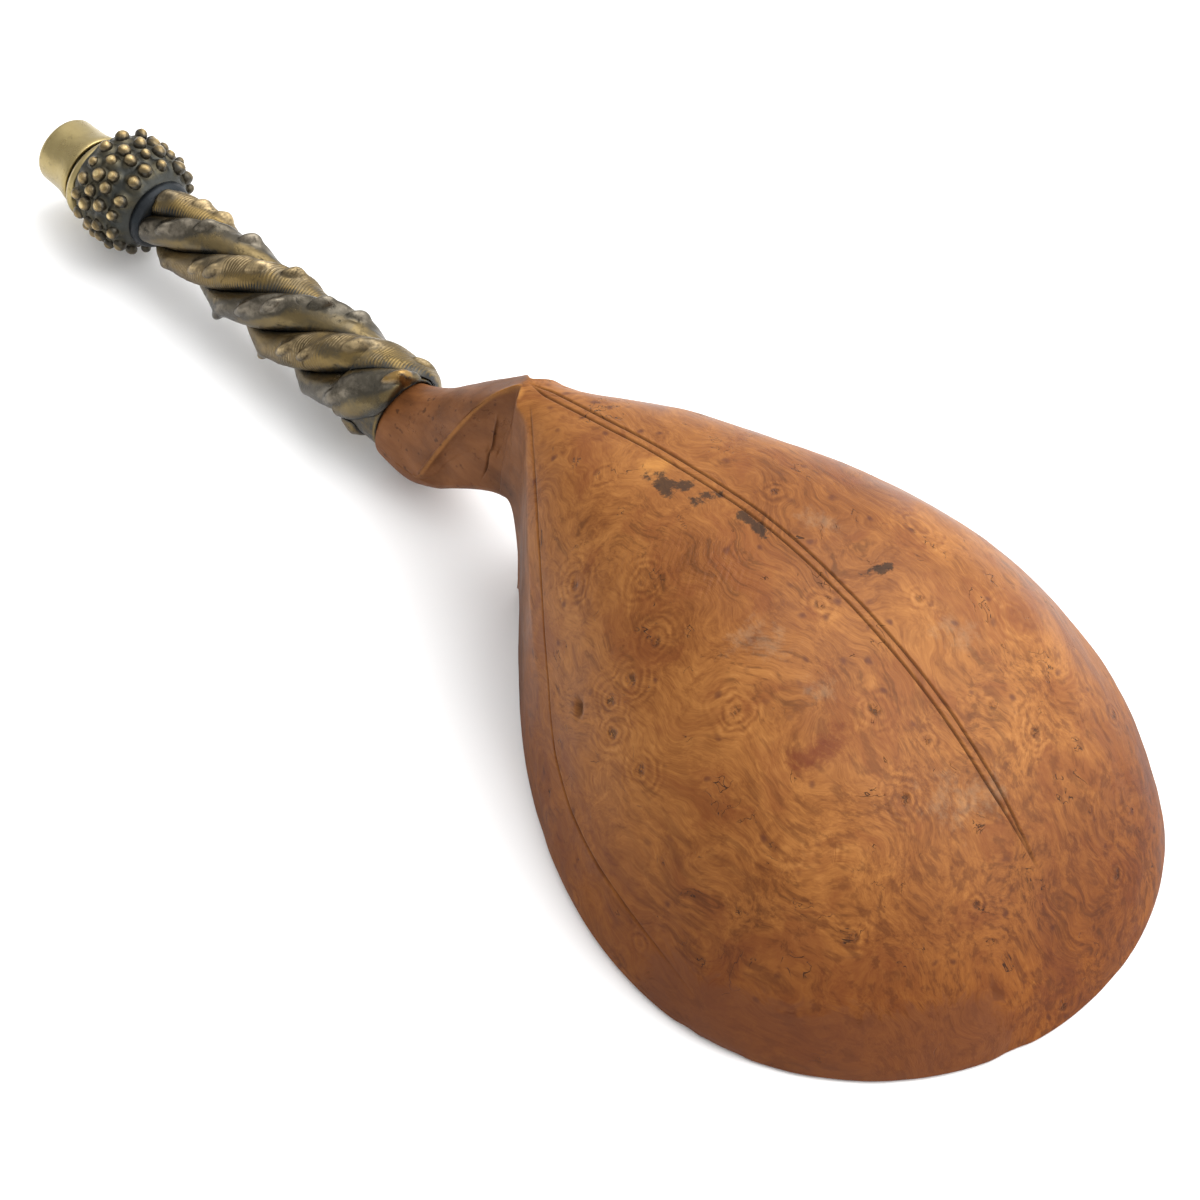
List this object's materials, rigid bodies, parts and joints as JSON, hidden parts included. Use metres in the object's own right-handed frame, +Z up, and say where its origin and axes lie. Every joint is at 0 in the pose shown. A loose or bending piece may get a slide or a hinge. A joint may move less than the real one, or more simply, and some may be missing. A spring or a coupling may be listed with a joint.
{
  "type": "spoon",
  "caption": "Deep pear-shaped burr-wood spoon with a cranked neck and a mounted handle of twisted gilt and silver branches, a granulated knop and a plain seal end.",
  "frame": {"origin": "on the surface the spoon lies on, below the centre of its bounding box", "axes": "+X from the handle to the tip of the bowl, +Z up out of the back of the bowl, +Y across; the plane Y = 0 cuts the bowl and handle in halves"},
  "size_m": [0.1656, 0.065, 0.0327],
  "materials": {
    "burr_wood": "satin",
    "gilt_silver": "satin",
    "worn_silver": "satin",
    "dark_silver": "matte",
    "cement": "matte"
  },
  "bodies": {
    "root": {"spoon_bowl": "burr_wood", "neck_ferrule": "gilt_silver", "core_tube": "worn_silver", "cement_plug": "cement", "centre_rod": "worn_silver", "branch_1": "gilt_silver", "branch_2": "worn_silver", "branch_3": "gilt_silver", "branch_4": "worn_silver", "knop_collar": "dark_silver", "knop_shell": "dark_silver", "granule_row_1": "gilt_silver", "granule_row_2": "gilt_silver", "granule_row_3": "gilt_silver", "granule_row_4": "gilt_silver", "knop_rim": "gilt_silver", "solder_plate": "dark_silver", "seal_drum": "gilt_silver"}
  },
  "joints": []
}
